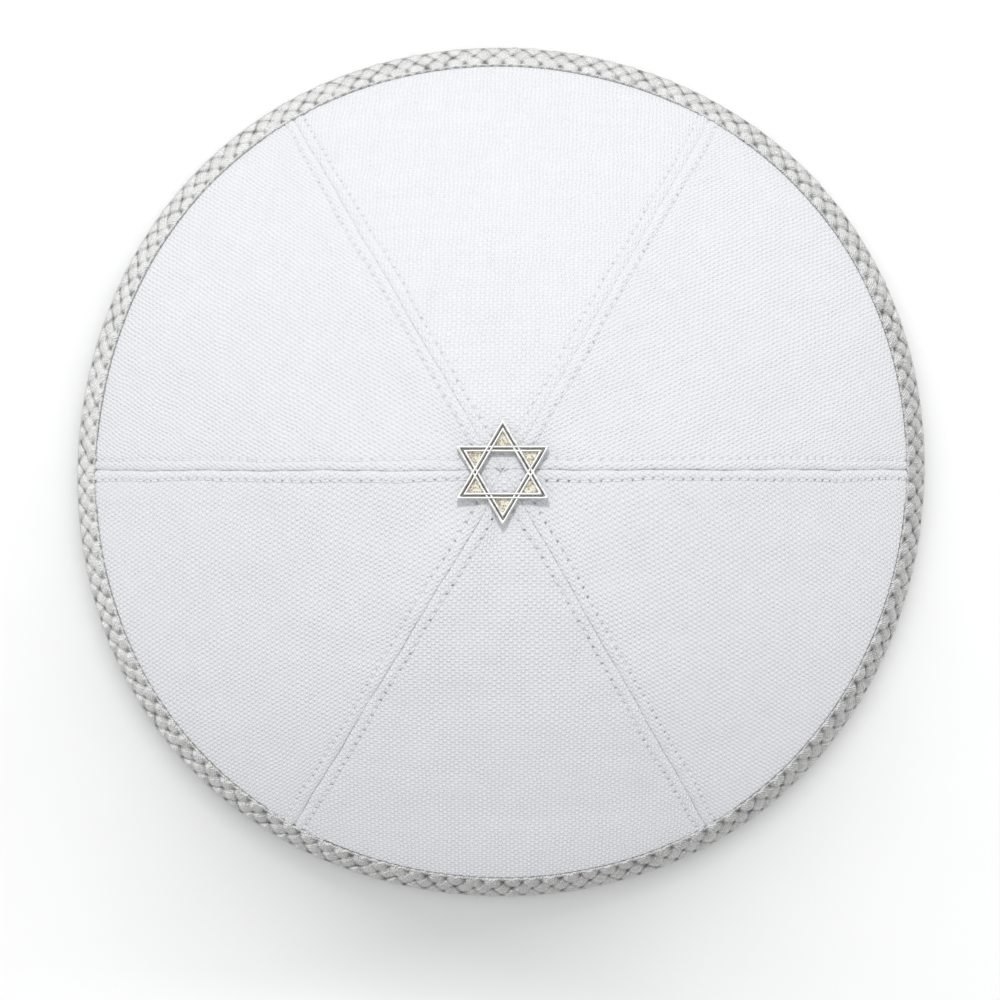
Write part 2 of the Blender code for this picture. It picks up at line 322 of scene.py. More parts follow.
class Wiring:
    """Adds nodes to one tree and joins them, so that a pattern's formula reads as nested calls."""

    def __init__(self, tree):
        self.nodes = tree.nodes
        self.links = tree.links

    def feed(self, socket, value):
        if isinstance(value, bpy.types.NodeSocket):
            self.links.new(value, socket)
        else:
            socket.default_value = value

    def add(self, kind, inputs=None, **settings):
        node = self.nodes.new(kind)
        for name, value in settings.items():
            setattr(node, name, value)
        for name, value in (inputs or {}).items():
            self.feed(node.inputs[name], value)
        return node

    def maths(self, operation, *values):
        node = self.add("ShaderNodeMath", operation=operation)
        for socket, value in zip(node.inputs, values):
            self.feed(socket, value)
        return node.outputs[0]

    def split(self, vector):
        node = self.add("ShaderNodeSeparateXYZ", {"Vector": vector})
        return node.outputs["X"], node.outputs["Y"]

    def join(self, x, y, z=0.0):
        return self.add("ShaderNodeCombineXYZ", {"X": x, "Y": y, "Z": z}).outputs[0]

    def noise(self, vector, scale, detail=2.0, dimensions="3D"):
        node = self.add("ShaderNodeTexNoise", {"Vector": vector, "Scale": scale, "Detail": detail})
        node.noise_dimensions = dimensions
        return node.outputs["Fac"]

    def fit(self, value, low, high, to_low=0.0, to_high=1.0):
        node = self.add("ShaderNodeMapRange", interpolation_type="SMOOTHSTEP")
        names = ("Value", "From Min", "From Max", "To Min", "To Max")
        for name, number in zip(names, (value, low, high, to_low, to_high)):
            self.feed(node.inputs[name], number)
        return node.outputs["Result"]

    def dim(self, shade, mask, amount, base=1.0):
        """The shade times a base that the mask raises or lowers by the amount."""
        return self.maths("MULTIPLY", shade, self.maths("MULTIPLY_ADD", mask, amount, base))

    def blend(self, share, first, second, kind="MIX"):
        node = self.add("ShaderNodeMix", data_type="RGBA", blend_type=kind)
        for socket, value in ((node.inputs[0], share), (node.inputs[6], first), (node.inputs[7], second)):
            self.feed(socket, value)
        return node.outputs[2]

    def grey(self, value):
        return self.add("ShaderNodeCombineColor", {"Red": value, "Green": value, "Blue": value}).outputs[0]

    def uv(self, name):
        return self.add("ShaderNodeUVMap", uv_map=name).outputs["UV"]

    def mask(self, name):
        return self.add("ShaderNodeAttribute", attribute_name=name).outputs["Fac"]

    def object_place(self):
        return self.add("ShaderNodeTexCoord").outputs["Object"]

    def group(self, group, inputs):
        node = self.add("ShaderNodeGroup", node_tree=group)
        for name, value in inputs.items():
            self.feed(node.inputs[name], value)
        return node.outputs

    def bump(self, height, distance, strength, normal=None):
        node = self.add("ShaderNodeBump", {"Height": height, "Distance": distance, "Strength": strength})
        if normal is not None:
            self.feed(node.inputs["Normal"], normal)
        return node.outputs["Normal"]


def new_group(name, inputs, outputs):
    """A shader node group with named sockets, its wiring, its inputs by name and its output node."""
    group = bpy.data.node_groups.new(name, "ShaderNodeTree")
    for label, kind, default in inputs:
        socket = group.interface.new_socket(label, in_out="INPUT", socket_type=kind)
        if default is not None:
            socket.default_value = default
    for label in outputs:
        group.interface.new_socket(label, in_out="OUTPUT", socket_type="NodeSocketFloat")
    wiring = Wiring(group)
    given = wiring.add("NodeGroupInput").outputs
    return group, wiring, given, wiring.add("NodeGroupOutput").inputs


def shared_group(name, build):
    """Returns the group of this name, and builds it the first time."""
    return bpy.data.node_groups.get(name) or build(name)


def build_plain_weave(name):
    """Threads one over, one under.

    The input counts threads. A thread's height is its round section times a wave that is high where it lies
    on top, and each point shows the higher of its two threads. The threads that run down stand proud of those
    that run across, so their tops show as staggered dots.
    """
    group, w, given, out = new_group(
        name,
        [("Threads", "NodeSocketVector", None), ("Unevenness", "NodeSocketFloat", 0.3)],
        ["Height", "Gap shade", "Tone"],
    )
    threads, uneven = given["Threads"], given["Unevenness"]
    u, v = w.split(threads)
    for_u = w.maths("MULTIPLY", w.maths("SUBTRACT", w.noise(threads, 0.11, 2.0, "2D"), 0.5), 1.3)
    for_v = w.maths("MULTIPLY", w.maths("SUBTRACT", w.noise(w.join(v, u, 7.0), 0.09, 2.0), 0.5), 1.3)
    u, v = w.maths("ADD", u, for_u), w.maths("ADD", v, for_v)
    sides = []
    for across, along, sign, salt, rise in ((u, v, 1.0, 11.0, 1.0), (v, u, -1.0, 53.0, 0.42)):
        number = w.maths("FLOOR", across)
        centred = w.maths("ABSOLUTE", w.maths("SUBTRACT", w.maths("FRACT", across), 0.5))
        section = w.maths("SUBTRACT", 1.0, w.maths("POWER", w.maths("MULTIPLY", centred, 2.0), 2.2))
        turn = w.maths("MULTIPLY", w.maths("ADD", w.maths("SUBTRACT", along, 0.5), number), np.pi)
        wave = w.maths("MULTIPLY_ADD", w.maths("COSINE", turn), 0.5 * sign, 0.5)
        strip = w.join(w.maths("MULTIPLY", number, 7.31), w.maths("MULTIPLY", along, 0.055), salt)
        slub = w.noise(strip, 1.0, 2.0)
        size = w.maths("MULTIPLY_ADD", w.maths("MULTIPLY", w.maths("SUBTRACT", slub, 0.5), uneven), 4.0, 0.86)
        full = w.maths("MULTIPLY", w.maths("MULTIPLY", section, wave), w.maths("MULTIPLY", size, rise))
        sides.append((full, slub))
    (warp, warp_slub), (weft, weft_slub) = sides
    height = w.maths("SMOOTH_MAX", warp, weft, 0.12)
    w.feed(out["Height"], height)
    # Gap shade: painted shade, 1 where the weave lies lowest between the threads and 0 on their tops
    w.feed(out["Gap shade"], w.fit(height, 0.1, 0.85, 1.0, 0.0))
    w.feed(out["Tone"], w.maths("MULTIPLY", w.maths("ADD", warp_slub, weft_slub), 0.5))
    return group


def build_needle_holes(name):
    """A row of needle holes. The input counts stitches along the row and millimetres away from it."""
    group, w, given, out = new_group(name, [("Row", "NodeSocketVector", None)], ["Hole", "Dimple shade"])
    along, away = w.split(given["Row"])
    near = w.maths("SUBTRACT", w.maths("FRACT", w.maths("ADD", along, 0.5)), 0.5)
    spread = w.join(w.maths("MULTIPLY", near, 2.05), away)
    reach = w.add("ShaderNodeVectorMath", {"Vector": spread}, operation="LENGTH").outputs["Value"]
    strength = w.fit(w.noise(w.join(w.maths("ROUND", along), 3.0), 0.83, 1.0), 0.35, 0.62, 0.35, 1.0)
    # Hole: each hole's strength, which sets its painted shade and its bumped depth
    w.feed(out["Hole"], w.maths("MULTIPLY", w.fit(reach, 0.12, 0.33, 1.0, 0.0), strength))
    # Dimple shade: a faint painted shade round each hole
    w.feed(out["Dimple shade"], w.fit(reach, 0.1, 0.8, 1.0, 0.0))
    return group


def build_cast_pits(name):
    """Small round pits in cast metal: one where a cell pattern's distance is short."""
    group, w, given, out = new_group(
        name, [("Place", "NodeSocketVector", None), ("Size", "NodeSocketFloat", 0.0004)], ["Pits", "Grain"]
    )
    scale = w.maths("DIVIDE", 1.0, given["Size"])
    cells = w.add("ShaderNodeTexVoronoi", {"Vector": given["Place"], "Scale": scale})
    w.feed(out["Pits"], w.fit(cells.outputs["Distance"], 0.15, 0.6))
    w.feed(out["Grain"], w.noise(given["Place"], w.maths("MULTIPLY", scale, 0.6), 3.0))
    return group


def new_material(name):
    """A new material, its wiring, and the inputs of its surface shader."""
    material = bpy.data.materials.new(name)
    material.use_nodes = True
    return material, Wiring(material.node_tree), material.node_tree.nodes["Principled BSDF"].inputs


def linen_material(settings):
    """Plain-weave linen: threads from the cloth map, needle holes from the seam map, a soft uneven tone and
    lint flecks. Painted shade darkens the gaps between threads, the needle holes and the gaping seams.
    """
    material, w, shader = new_material("white_linen")
    weave = w.group(
        shared_group("Plain weave", build_plain_weave), {"Threads": w.uv("cloth"), "Unevenness": 0.22}
    )
    holes = w.group(shared_group("Needle holes", build_needle_holes), {"Row": w.uv("seam")})
    # hole: painted shade in the needle holes, and the depth of their bump
    hole = w.maths("MULTIPLY", holes["Hole"], w.mask("pricks"))
    place = w.object_place()
    cloud = w.noise(place, 55.0, 3.0)
    fleck = w.fit(w.noise(place, 1500.0, 1.0), 0.71, 0.76)
    # painted shade in the gaps between the threads
    shade = w.maths("MULTIPLY_ADD", weave["Gap shade"], -0.09, 1.0)
    for pattern, amount in ((weave["Tone"], 0.10), (cloud, 0.03)):
        shade = w.maths("ADD", shade, w.maths("MULTIPLY", w.maths("SUBTRACT", pattern, 0.5), amount))
    # broken_seam_shade: how far painted shade darkens a gaping seam, uneven along it
    broken_seam_shade = w.fit(w.noise(place, 260.0, 2.0), 0.35, 0.62, -0.05, -0.34)
    # painted shade in and round the needle holes and in the gaping seams, and real flecks of lint
    shade_and_flecks = ((hole, -0.58), (holes["Dimple shade"], -0.04), (w.mask("crevice"), broken_seam_shade), (fleck, -0.10))
    for mask, amount in shade_and_flecks:
        shade = w.dim(shade, mask, amount)
    colour = w.blend(1.0, w.grey(shade), (*settings.colour, 1), "MULTIPLY")
    w.feed(shader["Base Color"], colour)
    shader["Roughness"].default_value = 0.92
    shader["Specular IOR Level"].default_value = 0.25
    shader["Sheen Weight"].default_value = 0.08
    shader["Sheen Roughness"].default_value = 0.5
    woven = w.bump(weave["Height"], settings.weave_depth, 1.0)
    fuzz = w.bump(w.noise(place, 2600.0, 2.0), 0.00004, 0.35, woven)
    w.feed(shader["Normal"], w.bump(w.maths("MULTIPLY", hole, -1.0), 0.0002, 0.8, fuzz))
    return material


def thread_material(settings):
    """White sewing thread with a fine twist."""
    material, w, shader = new_material("white_thread")
    place = w.object_place()
    tone = w.fit(w.noise(place, 900.0, 1.0), 0.3, 0.7, 0.92, 1.0)
    w.feed(shader["Base Color"], w.blend(1.0, w.grey(tone), (*settings.thread_colour, 1), "MULTIPLY"))
    shader["Roughness"].default_value = 0.6
    shader["Sheen Weight"].default_value = 0.1
    w.feed(shader["Normal"], w.bump(w.noise(place, 5200.0, 1.0), 0.00005, 0.5))
    return material


def braid_material(settings):
    """Silver metallic braid: fine filaments along each strand, painted shade in the gaps between strands and
    along the selvages, and a glint here and there.
    """
    material, w, shader = new_material("silver_braid")
    u, v = w.split(w.uv("plait"))
    over = w.mask("over")
    lines = []
    for across, along in ((u, v), (v, u)):
        wander = w.maths("MULTIPLY", w.noise(w.join(across, w.maths("MULTIPLY", along, 0.4)), 3.0, 1.0), 0.10)
        turn = w.maths("MULTIPLY", w.maths("ADD", across, wander), 2 * np.pi * settings.filaments)
        lines.append(w.maths("MULTIPLY_ADD", w.maths("COSINE", turn), 0.5, 0.5))
    filament = w.add("ShaderNodeMix", {"Factor": over}, data_type="FLOAT")
    w.feed(filament.inputs[2], lines[1])
    w.feed(filament.inputs[3], lines[0])
    filament = filament.outputs[0]
    place = w.object_place()
    grain = w.noise(place, 2400.0, 2.0)
    cell_tone = w.noise(place, 420.0, 1.0)
    # painted shade in the plait's gaps and along its selvages
    shade = w.maths("MULTIPLY_ADD", w.mask("hollow"), -0.82, 1.0)
    shade = w.dim(shade, filament, 0.14, 0.88)
    shade = w.dim(shade, cell_tone, 0.24, 0.88)
    w.feed(shader["Base Color"], w.blend(1.0, w.grey(shade), (*settings.colour, 1), "MULTIPLY"))
    shader["Metallic"].default_value = 0.82
    w.feed(shader["Roughness"], w.fit(grain, 0.35, 0.7, 0.38, 0.21))
    fine = w.bump(filament, 0.00006, 0.6)
    w.feed(shader["Normal"], w.bump(grain, 0.00026, 0.75, fine))
    return material


def star_material(settings):
    """Polished white metal on the ridges; grooves and cells duller, yellower and pitted. The dark metal in
    the grooves, fainter on the bars' flanks and prongs, is painted shade, and so is the darker colour at the
    bottom of the cells' pits.
    """
    material, w, shader = new_material("bright_silver")
    place = w.object_place()
    pits = w.group(shared_group("Cast pits", build_cast_pits), {"Place": place, "Size": 0.00042})
    cell = w.mask("cell")
    groove = w.mask("groove")
    # painted shade: the groove mask darkens the metal, fully deep in the grooves, half on the flanks, a
    # little on the prongs
    polished = w.blend(groove, (*settings.colour, 1), (*settings.groove_shade_colour, 1))
    # painted shade at the bottom of the pits
    pitted = w.blend(pits["Pits"], (*settings.pit_shade_colour, 1), (*settings.cell_colour, 1))
    w.feed(shader["Base Color"], w.blend(cell, polished, pitted))
    w.feed(shader["Metallic"], w.maths("MULTIPLY_ADD", cell, -0.55, 1.0))
    smear = w.fit(w.noise(place, 600.0, 3.0), 0.3, 0.7, 0.07, 0.17)
    duller = w.maths("MULTIPLY_ADD", groove, 0.14, smear)
    w.feed(shader["Roughness"], w.maths("MULTIPLY_ADD", cell, 0.34, duller))
    cast = w.maths("ADD", pits["Pits"], w.maths("MULTIPLY", pits["Grain"], 0.7))
    rough_cast = w.maths("MULTIPLY", cast, cell)
    wavy = w.bump(w.noise(place, 620.0, 2.0), 0.00024, 0.9)
    w.feed(shader["Normal"], w.bump(rough_cast, 0.0003, 0.55, wavy))
    return material


def floor_material(settings):
    """A pale matt floor, its tone barely uneven."""
    material, w, shader = new_material("pale_floor")
    tone = w.fit(w.noise(w.object_place(), 30.0, 2.0), 0.3, 0.7, 0.985, 1.0)
    w.feed(shader["Base Color"], w.blend(1.0, w.grey(tone), (*settings.floor_colour, 1), "MULTIPLY"))
    shader["Roughness"].default_value = 1.0
    shader["Specular IOR Level"].default_value = 0.0
    return material


# Linen gores

def seam_rows(number):
    """Seeded starts of the two stitch rows of a gore, and how each row wanders."""
    return np.random.default_rng(ROW_SEED + number).uniform(0, 1, (2, 4))


def row_distance(arc, draws, settings):
    """Distance of a stitch row from its seam: the set distance and two slow seeded waves along the seam."""
    distance = settings.stitch_row
    for number, (height, length) in enumerate(ROW_WANDER, 1):
        distance = distance + height * np.sin(2 * np.pi * (arc / length + draws[..., number]))
    return distance


def nearer_seam(number, away):
    """Number of the seam beside a point of a gore: the one before its middle, or the one after it."""
    return (number - 1 + (away > 0)) % GORE_COUNT


def seam_gape(number, radius, away):
    """How far the nearer seam gapes here.

    It gapes by its own share towards the rim. Near the crown most of that is left on the seams at 0 and 180
    degrees, which make one straight line, and little on the others.
    """
    seam = nearer_seam(number, away)
    at_crown = np.where(seam % 3 == 0, 0.8, 0.1)
    return SEAM_OPEN[seam] * (at_crown + (1 - at_crown) * smooth_step(radius, 0.006, 0.012))


def sewn_skin(number, radius, away, depth):
    """A point of a gore's cloth, moved sideways with the seam beside it.

    A seam wanders about its line by two slow waves. The cloth follows it less and less with distance, by a
    bell curve, and not at all at the gore's middle. Within the star's opening the cloth moves as one with the
    point where the seams meet.
    """
    seam = nearer_seam(number, away)
    draws = np.random.default_rng(SEAM_SEED).uniform(0, 1, (GORE_COUNT, 2))[seam]
    arc = arc_at(radius)
    distance = radius * np.sin(HALF_GORE - np.abs(away))
    near, far = SEAM_SHIFT[seam, 0], SEAM_SHIFT[seam, 1]
    shift = near + (far - near) * radius / EDGE_RADIUS
    for wave, (height, length) in enumerate(SEAM_WANDER):
        shift = shift + height * np.sin(2 * np.pi * (arc / length + draws[..., wave]))
    fade = np.exp(-((distance / SEAM_PULL) ** 2)) * smooth_step(radius, CROWN_STILL, CROWN_FREE)
    fade = fade * (1 - smooth_step(distance / (radius * np.sin(HALF_GORE)), 0.3, 1.0))
    turn = away + (number - 0.5) * GORE_ANGLE + shift * fade / radius
    moved = (1 - smooth_step(radius, CROWN_STILL, CROWN_FREE))[..., None] * CROWN_SHIFT
    return skin(radius, turn, depth) + moved


def linen_relief(number, radius, away, settings):
    """How far the sewn cloth stands above the plain dome, and its place against the nearer stitch row.

    From the seam outwards: a groove, a raised band over the seam allowance, a dip along the stitch row that
    is deepest at each needle hole, and the faint edge of the allowance. The gore's middle lies a little flat
    between its seams, and slow waves run over the whole.
    """
    distance = radius * np.sin(HALF_GORE - np.abs(away))
    arc = arc_at(radius)
    side = (away > 0).astype(int)
    draws = seam_rows(number)[side]
    row = distance - row_distance(arc, draws, settings)
    count = arc / settings.stitch_pitch + draws[..., 0]
    hole = 0.5 + 0.5 * np.cos(2 * np.pi * count)
    sewn = smooth_step(radius, *SEWN_FADE)
    edge = 1 - smooth_step(radius, FINE_FADE[0] * EDGE_RADIUS, FINE_FADE[1] * EDGE_RADIUS)
    level = 1 - smooth_step(radius, WAVE_FADE[0] * EDGE_RADIUS, WAVE_FADE[1] * EDGE_RADIUS)
    gape = seam_gape(number, radius, away)
    turn = away + (number - 0.5) * GORE_ANGLE
    x, y = radius * np.cos(turn), radius * np.sin(turn)
    groove = -(GROOVE_DEPTH + GROOVE_GAPE * gape) * np.exp(-((distance / GROOVE_WIDTH) ** 1.4))
    groove = groove * smooth_step(radius, 0.0, CROWN_STILL)
    band = BAND_HEIGHT * smooth_step(distance, 0.0002, 0.0009) * (1 - smooth_step(row, -0.0005, 0.0003))
    dip = -DIP_DEPTH * bell(row, 0, DIP_WIDTH) * (0.4 + 0.6 * hole)
    ghost = GHOST_HEIGHT * (1 - smooth_step(distance, ALLOWANCE_WIDTH - 0.0006, ALLOWANCE_WIDTH + 0.0004))
    ripple = np.sin(2 * np.pi * (arc / PUCKER_LENGTH + draws[..., 3]))
    pucker = PUCKER_HEIGHT * ripple * np.exp(-distance / PUCKER_REACH)
    (long_height, long_length), (short_height, short_length) = CLOTH_WAVES
    waves = long_height * soft_waves(x, y, long_length, LONG_WAVE_SEED)
    waves = waves + short_height * soft_waves(x, y, short_length, SHORT_WAVE_SEED + number)
    bulge = np.sin(np.pi * np.clip(radius / EDGE_RADIUS, 0, 1)) * np.cos(np.pi / GORE_ANGLE * away)
    flat = -FLATTENED * bulge
    fine = groove + (band + dip + ghost + pucker) * sewn
    row_map = np.stack((count + 100 * side + 17 * number, row / MM), -1)
    return fine * edge, (flat + waves * sewn) * level, distance, row_map


def gore_grid():
    """Radius and angle from the gore's middle at each grid point, columns crowding beside the seams.

    A column keeps its distance from the seam until the gore is too narrow for it near the crown, where it
    keeps its share of the half width instead. The columns of the field share the rest evenly.
    """
    radius = np.maximum(radius_at(np.linspace(0, ARC_LENGTH, GORE_ROWS)), TIP_RADIUS)[:, None]
    half_width = radius * np.sin(HALF_GORE)
    share = np.linspace(0.06, 0.62, len(SEAM_COLUMNS))
    near = soft_least(SEAM_COLUMNS[None], share * half_width)
    field = near[:, -1:] + (half_width - near[:, -1:]) * np.linspace(0, 1, FIELD_COLUMNS + 1)[1:]
    away = HALF_GORE - np.arcsin(np.concatenate((near, field), 1) / radius)
    away[:, -1] = 0
    return radius, np.concatenate((-away, away[:, -2::-1]), 1)


def thread_counts(radius, away, skew, settings):
    """The cloth map: threads counted across the gore from its middle, and down it from the crown.

    Across is the distance from the middle line, which turns into the length of arc towards the rim. Down is
    the dome's curve out to a line that runs straight across the gore near the crown and bows a little towards
    the rim. The spacing down the gore changes slowly from the crown to the rim.
    """
    share = radius / EDGE_RADIUS
    across = radius * (np.sin(away) + (away - np.sin(away)) * share)
    arc = arc_at(radius * np.cos(away) ** (1 - 0.25 * share))
    down = arc / settings.thread_down * (1 + settings.thread_crowding * (arc / ARC_LENGTH) ** 2)
    return np.stack((across / settings.thread_across + skew * arc / settings.thread_across, down), -1)


def make_gore(number, finish, settings):
    """One gore: the sewn outer face, and an inner face one cloth below it, two under the seam allowance."""
    radius, away = gore_grid()
    radius = np.broadcast_to(radius, away.shape)
    fine, broad, distance, row = linen_relief(number, radius, away, settings)
    doubled = 1 - smooth_step(distance, ALLOWANCE_WIDTH - 0.0001, ALLOWANCE_WIDTH + 0.0002)
    wall = CLOTH_WALL + (ALLOWANCE_WALL - CLOTH_WALL) * doubled
    outer = sewn_skin(number, radius, away, -(fine + broad))
    inner = sewn_skin(number, radius, away, wall - broad - INNER_SHARE * fine)
    skew = np.tan(np.radians(np.random.default_rng(SKEW_SEED + number).uniform(-4, 4)))
    cloth = thread_counts(radius, away, skew, settings)
    # crevice: painted shade in the gap of a seam, as deep as the seam gapes
    crevice = np.exp(-((distance / SEAM_SHADE_WIDTH) ** 2)) * seam_gape(number, radius, away)
    # per row, how strong the painted shade and bumped depth of its needle holes are
    pricks = HOLE_SHADE_AND_DEPTH[number - 1][(away > 0).astype(int)]
    made = make_piece(
        f"gore_{number}",
        np.stack((outer, inner)),
        [shell_quads(*away.shape)],
        finish,
        maps={"cloth": np.stack((cloth, cloth)), "seam": np.stack((row, row + 50))},
        masks={"crevice": np.stack((crevice, np.zeros_like(crevice))), "pricks": np.stack((pricks, pricks))},
    )
    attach(made, "root")
    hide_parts(f"panel_{number}")
    return made


# Sewing

def bead_tubes(paths, normals, thickness, sides=5):
    """Short tubes along many paths at once: rings square to each path, drawn in at both ends.

    Points are the path plus the ring's radius times a turning mix of the normal and the side direction.
    """
    count, steps = paths.shape[:2]
    along = np.gradient(paths, axis=1)
    along /= np.linalg.norm(along, axis=-1, keepdims=True)
    side = np.cross(along, normals)
    side /= np.linalg.norm(side, axis=-1, keepdims=True)
    up = np.cross(side, along)
    turn = np.linspace(0, 2 * np.pi, sides, endpoint=False)
    ends = np.abs(np.linspace(-1, 1, steps)) ** 6
    radius = thickness / 2 * (1 - 0.55 * ends)
    ring = side[:, :, None] * np.cos(turn)[:, None] + up[:, :, None] * np.sin(turn)[:, None]
    points = paths[:, :, None] + ring * radius[:, None, None]
    start = (np.arange(count) * steps * sides)[:, None, None]
    tube = grid_quads(steps, sides, close_columns=True)[None] + start
    caps = np.stack((np.arange(sides), (np.arange(sides) + (steps - 1) * sides)[::-1]))[None] + start
    return points.reshape(-1, 3), tube.reshape(-1, 4), caps.reshape(-1, sides)


def stitch_paths(number, side, settings, inside):
    """Centre lines of one row's stitches: each runs from hole to hole and dips at both ends."""
    draws = seam_rows(number)[side]
    first = int(np.ceil(FIRST_STITCH / settings.stitch_pitch + draws[0]))
    last = int(np.floor((ARC_LENGTH - LAST_STITCH) / settings.stitch_pitch + draws[0]))
    share = np.linspace(*STITCH_SPAN, 6)
    arc = (np.arange(first, last)[:, None] + share - draws[0]) * settings.stitch_pitch
    radius = radius_at(arc)
    away = (2 * side - 1) * (HALF_GORE - np.arcsin(row_distance(arc, draws, settings) / radius))
    fine, broad, _, _ = linen_relief(number, radius, away, settings)
    lift = settings.stitch_thickness * (STITCH_RISE * np.sin(np.pi * share) ** 0.6 - STITCH_SINK)
    if inside:
        depth = ALLOWANCE_WALL - broad - INNER_SHARE * fine + lift
    else:
        depth = -(fine + broad) - lift
    turn = away + (number - 0.5) * GORE_ANGLE
    slope = dome_slope(radius)
    normal = np.stack((np.sin(slope) * np.cos(turn), np.sin(slope) * np.sin(turn), np.cos(slope)), -1)
    return sewn_skin(number, radius, away, depth), normal


def make_stitches(name, finish, settings, inside):
    """All the stitches on one face of the cap, two rows along each seam."""
    places = [(number, side) for number in range(1, GORE_COUNT + 1) for side in (0, 1)]
    rows = [stitch_paths(number, side, settings, inside) for number, side in places]
    paths = np.concatenate([row[0] for row in rows])
    normals = np.concatenate([row[1] for row in rows])
    points, tube, caps = bead_tubes(paths, normals, settings.stitch_thickness)
    made = make_piece(name, points, [tube, caps], finish)
    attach(made, "root")
    return made


def make_crown_threads(finish):
    """Fine ends of thread at the crown, where the six seams meet under the star's opening.

    Each runs from one point to another, bowed sideways by a sine and raised in the middle by another.
    """
    share = np.linspace(0, 1, 14)
    ends = MM * np.array(
        [[-0.9, 0.55, -0.1, 1.1], [-0.1, 0.3, -0.55, 1.5], [-1.3, 0.8, -0.4, 0.65], [0.2, 0.5, 1.1, 0.75]]
    )
    bow = MM * np.array([0.30, -0.35, 0.15, -0.12])
    rise = np.array([[1], [2], [1.4], [1]])
    x = ends[:, :1] + (ends[:, 2:3] - ends[:, :1]) * share + bow[:, None] * np.sin(np.pi * share)
    y = ends[:, 1:2] + (ends[:, 3:] - ends[:, 1:2]) * share + 0.5 * bow[:, None] * np.sin(2 * np.pi * share)
    z = dome_height(np.hypot(x, y)) + 0.00014 + 0.00034 * np.sin(np.pi * share) * rise
    paths = np.stack((x, y, z), -1)
    up = np.broadcast_to(np.array([0.0, 0.0, 1.0]), paths.shape)
    points, tube, caps = bead_tubes(paths, up, CROWN_THREAD)
    made = make_piece("crown_threads", points, [tube, caps], finish)
    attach(made, "root")
    return made


# Braid

def braid_section():
    """The braid's outer path in the plane of the axis: distance out, height, and the direction it faces.

    Down the outer leg, round the fold in half a turn, and up the inner leg. Also how far along the braid's
    width each point lies, and how far it is from the nearer selvage.
    """
    lean = np.cos(EDGE_SLOPE)
    outer_run = lean * (OUTER_COVER - np.concatenate((SELVAGE_STEPS, np.linspace(0.00105, OUTER_COVER, 16))))
    slope = dome_slope(EDGE_RADIUS - outer_run)
    outer = np.stack((EDGE_RADIUS - outer_run, dome_height(EDGE_RADIUS - outer_run)), -1)
    outer_face = np.stack((np.sin(slope), np.cos(slope)), -1)
    first = np.pi / 2 - EDGE_SLOPE
    turn = first - np.pi * np.concatenate((np.linspace(0, 0.5, 13)[1:], np.linspace(0.5, 1, 8)[1:-1]))
    fold_face = np.stack((np.cos(turn), np.sin(turn)), -1)
    centre = outer[-1] - FOLD_CENTRE_DEPTH * outer_face[-1]
    fold = centre + FOLD_CENTRE_DEPTH * fold_face
    inner_steps = np.concatenate((np.linspace(INNER_COVER, 0.0009, 10), SELVAGE_STEPS[-2::-2]))
    inner_run = lean * (INNER_COVER - inner_steps)
    slope = dome_slope(EDGE_RADIUS - inner_run)
    inner_face = -np.stack((np.sin(slope), np.cos(slope)), -1)
    inner = np.stack((EDGE_RADIUS - inner_run, dome_height(EDGE_RADIUS - inner_run)), -1)
    inner = inner + ALLOWANCE_WALL * inner_face
    base = np.concatenate((outer, fold, inner))
    face = np.concatenate((outer_face, fold_face, inner_face))
    middle = base + face * BRAID_WALL
    width = np.concatenate(([0], np.cumsum(np.linalg.norm(np.diff(middle, axis=0), axis=1))))
    return base, face, width, np.minimum(width, width[-1] - width)


def plait(along, across):
    """Height of a plait of two sets of flat strands that cross at right angles, and which set is on top.

    Along counts cells round the rim, across is in cells too. The two strand counts are their sum and their
    difference. A strand's height is its flat-topped section times a full wave that is high where it lies on
    top, and that rises faster than it falls. The higher strand shows. Each crossing swells a little more or
    less than the next, and tips a little its own way.
    """
    u, v = along + across, along - across
    first, second = np.floor(u), np.floor(v)
    draws = np.random.default_rng(PLAIT_SEED).uniform(-1, 1, PLAIT_DRAWS)
    draws = draws[:, first.astype(int) % PLAIT_DRAWS[1], second.astype(int) % PLAIT_DRAWS[2]]
    swell = 0.95 + 0.12 * draws[0]
    swell = swell + 0.55 * draws[1] * (u - first - 0.5) + 0.55 * draws[2] * (v - second - 0.5)

    def strand(across_it, along_it, number, sign):
        section = np.maximum(1 - np.abs(2 * (across_it - number) - 1) ** 3.6, 0) ** 0.75
        turn = np.pi * (along_it - 0.5 + number)
        wave = 0.5 + 0.5 * sign * np.cos(turn + sign * 0.45 * np.cos(turn))
        return section * wave**0.9

    over = strand(u, v, first, 1)
    under = strand(v, u, second, -1)
    return np.maximum(over, under) * swell, (over > under).astype(float), np.stack((u, v), -1)


